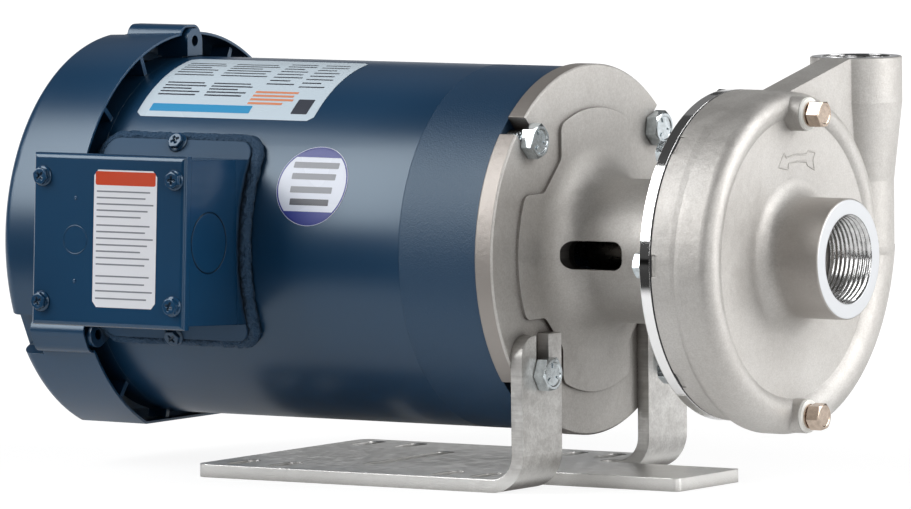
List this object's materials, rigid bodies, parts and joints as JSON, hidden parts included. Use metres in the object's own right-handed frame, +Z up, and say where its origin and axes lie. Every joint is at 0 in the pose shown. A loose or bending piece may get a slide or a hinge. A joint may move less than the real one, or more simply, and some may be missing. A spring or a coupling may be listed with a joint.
{
  "type": "centrifugal pump",
  "caption": "Close-coupled end-suction centrifugal pump: round-body motor, cast adapter, volute casing with top discharge, bent plate base and side conduit box.",
  "frame": {"origin": "underside of the base plate, below the motor face and on the shaft's upright plane", "axes": "+X along the shaft towards the suction port, +Y towards the discharge side, +Z up"},
  "size_m": [0.403, 0.2369, 0.2046],
  "materials": {
    "motor_paint": "semi-gloss navy enamel",
    "endbell_paint": "navy enamel over a cast, finely pebbled surface",
    "painted_screws": "navy enamel",
    "foam_paint": "foam sheet, painted over",
    "cast_stainless": "bead-blasted investment casting",
    "base_stainless": "matte rolled stainless plate",
    "plug_stainless": "machined stainless",
    "sleeve_stainless": "turned stainless",
    "zinc_steel": "bright zinc plate",
    "washer_white": "plain sealing washer",
    "gasket_fibre": "compressed fibre sheet",
    "black_rubber": "matte nitrile rubber",
    "black_screws": "black oxide",
    "seal_ceramic": "white ceramic, lapped",
    "seal_carbon": "carbon ring, lapped",
    "bearing_steel": "ground bearing steel",
    "shaft_steel": "turned carbon steel",
    "core_steel": "laminated electrical steel",
    "winding_copper": "varnished copper wire",
    "cast_aluminium": "die-cast",
    "fan_plastic": "moulded black plastic",
    "board_plastic": "moulded terminal board",
    "brass": "plain brass",
    "ground_green": "green dyed screw"
  },
  "bodies": {
    "root": {"motor_shell": "motor_paint", "drive_endbell": "endbell_paint", "rear_endshield": "motor_paint", "through_bolts": "zinc_steel", "stator_core": "core_steel", "stator_windings": "winding_copper", "front_bearing_outer": "bearing_steel", "rear_bearing_outer": "bearing_steel", "wave_washer": "bearing_steel", "fan_cover": "motor_paint", "fan_cover_screws": "painted_screws", "box_gasket": "foam_paint", "conduit_box": "motor_paint", "box_cover": "motor_paint", "box_cover_screws": "painted_screws", "saddle_screws": "painted_screws", "ground_screw": "ground_green", "terminal_board": "board_plastic", "terminal_studs": "brass", "lead_grommet": "black_rubber", "motor_adapter": "cast_stainless", "adapter_bolts": "zinc_steel", "base_bolts": "zinc_steel", "casing_bolts": "zinc_steel", "casing_gasket": "gasket_fibre", "seal_seat": "seal_ceramic", "seat_cup": "black_rubber", "volute_casing": "cast_stainless", "vent_plug": "plug_stainless", "drain_plug": "plug_stainless", "plug_washers": "washer_white", "base_bracket": "base_stainless"},
    "rotor": {"motor_shaft": "shaft_steel", "rotor_core": "core_steel", "rotor_end_rings": "cast_aluminium", "front_bearing_inner": "bearing_steel", "front_bearing_balls": "bearing_steel", "rear_bearing_inner": "bearing_steel", "rear_bearing_balls": "bearing_steel", "shaft_key": "shaft_steel", "cooling_fan": "fan_plastic", "fan_clip": "bearing_steel", "stub_shaft": "sleeve_stainless", "set_screws": "black_screws", "shaft_slinger": "black_rubber", "seal_head": "seal_carbon", "seal_bellows": "black_rubber", "seal_spring": "plug_stainless", "impeller": "cast_stainless", "impeller_washer": "plug_stainless", "impeller_nut": "plug_stainless"}
  },
  "joints": [
    {"name": "shaft_spin", "type": "hinge", "parent": "root", "child": "rotor", "pos_m": [0, 0, 0.1063], "axis": [1, 0, 0], "continuous": true}
  ]
}
